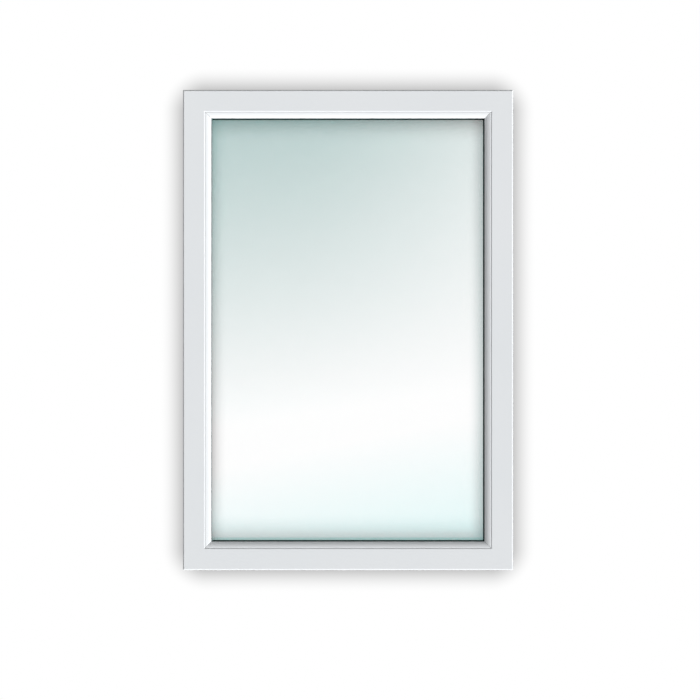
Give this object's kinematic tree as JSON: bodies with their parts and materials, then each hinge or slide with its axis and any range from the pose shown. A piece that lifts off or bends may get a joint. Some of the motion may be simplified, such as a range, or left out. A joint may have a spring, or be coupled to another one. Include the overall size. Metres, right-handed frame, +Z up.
{
  "type": "pvc window",
  "caption": "Upright fixed window: a mitred white PVC frame holds one sealed glass unit behind snap-in beads and dark gaskets, with capped drains outdoors.",
  "frame": {"origin": "middle of the frame's bottom face between its two clip grooves, halfway through the frame's depth", "axes": "+X to the right seen from the room, +Y from the room to outdoors, +Z up"},
  "size_m": [0.825, 0.0752, 1.2],
  "materials": {
    "pvc": "satin",
    "bead_pvc": "satin",
    "cap_plastic": "matte",
    "gasket": "matte",
    "glass": "clear",
    "spacer": "mill",
    "edge_seal": "matte",
    "galvanised_steel": "galvanised",
    "block_plastic": "matte"
  },
  "bodies": {
    "root": {"frame_sill": "pvc", "frame_left_jamb": "pvc", "frame_head": "pvc", "frame_right_jamb": "pvc", "bead_sill": "bead_pvc", "bead_left_jamb": "bead_pvc", "bead_head": "bead_pvc", "bead_right_jamb": "bead_pvc", "bead_gasket_sill": "gasket", "bead_gasket_left_jamb": "gasket", "bead_gasket_head": "gasket", "bead_gasket_right_jamb": "gasket", "outer_gasket_sill": "gasket", "outer_gasket_left_jamb": "gasket", "outer_gasket_head": "gasket", "outer_gasket_right_jamb": "gasket", "spacer_sill": "spacer", "spacer_left_jamb": "spacer", "spacer_head": "spacer", "spacer_right_jamb": "spacer", "edge_seal_sill": "edge_seal", "edge_seal_left_jamb": "edge_seal", "edge_seal_head": "edge_seal", "edge_seal_right_jamb": "edge_seal", "steel_sill": "galvanised_steel", "steel_left_jamb": "galvanised_steel", "steel_head": "galvanised_steel", "steel_right_jamb": "galvanised_steel", "setting_block_left": "block_plastic", "setting_block_right": "block_plastic", "head_block_left": "block_plastic", "head_block_right": "block_plastic", "left_block_lower": "block_plastic", "left_block_upper": "block_plastic", "right_block_lower": "block_plastic", "right_block_upper": "block_plastic", "inner_pane": "glass", "outer_pane": "glass", "drain_cap_left": "cap_plastic", "drain_cap_right": "cap_plastic"}
  },
  "joints": []
}
